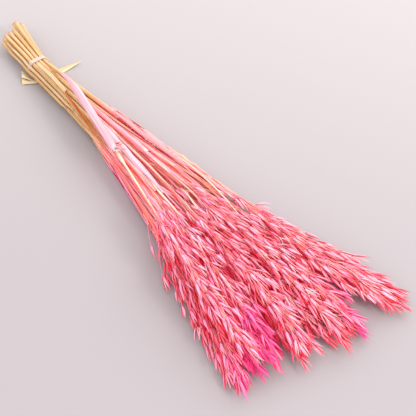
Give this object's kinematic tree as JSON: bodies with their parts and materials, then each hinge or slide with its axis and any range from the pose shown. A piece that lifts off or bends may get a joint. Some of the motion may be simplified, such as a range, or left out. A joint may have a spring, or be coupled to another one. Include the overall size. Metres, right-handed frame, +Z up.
{
  "type": "bundle of dried oats",
  "caption": "Bunch of dried, pink-dyed oat stalks with their grain heads, held by an elastic band near the cut ends and lying on its side.",
  "frame": {"origin": "middle of the underside of the whole bunch's box, on the surface that it lies on", "axes": "+X along the bunch from the cut ends to the tips of the heads, +Z up from the surface"},
  "size_m": [0.657, 0.2124, 0.0471],
  "materials": {
    "dyed_oat": "matt dry plant fibre dyed pink, straw-coloured near the cut ends",
    "bare_straw": "satin dry straw",
    "elastic_band": "milky see-through elastic"
  },
  "bodies": {
    "root": {"loose_leaf": "bare_straw", "oat_stalk_01": "dyed_oat", "oat_stalk_02": "dyed_oat", "oat_stalk_03": "dyed_oat", "oat_stalk_04": "dyed_oat", "oat_stalk_05": "dyed_oat", "oat_stalk_06": "dyed_oat", "oat_stalk_07": "dyed_oat", "oat_stalk_08": "dyed_oat", "oat_stalk_09": "dyed_oat", "oat_stalk_10": "dyed_oat", "oat_stalk_11": "dyed_oat", "oat_stalk_12": "dyed_oat", "oat_stalk_13": "dyed_oat", "oat_stalk_14": "dyed_oat", "oat_stalk_15": "dyed_oat", "oat_stalk_16": "dyed_oat", "oat_stalk_17": "dyed_oat", "oat_stalk_18": "dyed_oat", "oat_stalk_19": "dyed_oat", "oat_stalk_20": "dyed_oat", "oat_stalk_21": "dyed_oat", "oat_stalk_22": "dyed_oat", "oat_stalk_23": "dyed_oat", "oat_stalk_24": "dyed_oat", "tie_band": "elastic_band"}
  },
  "joints": []
}
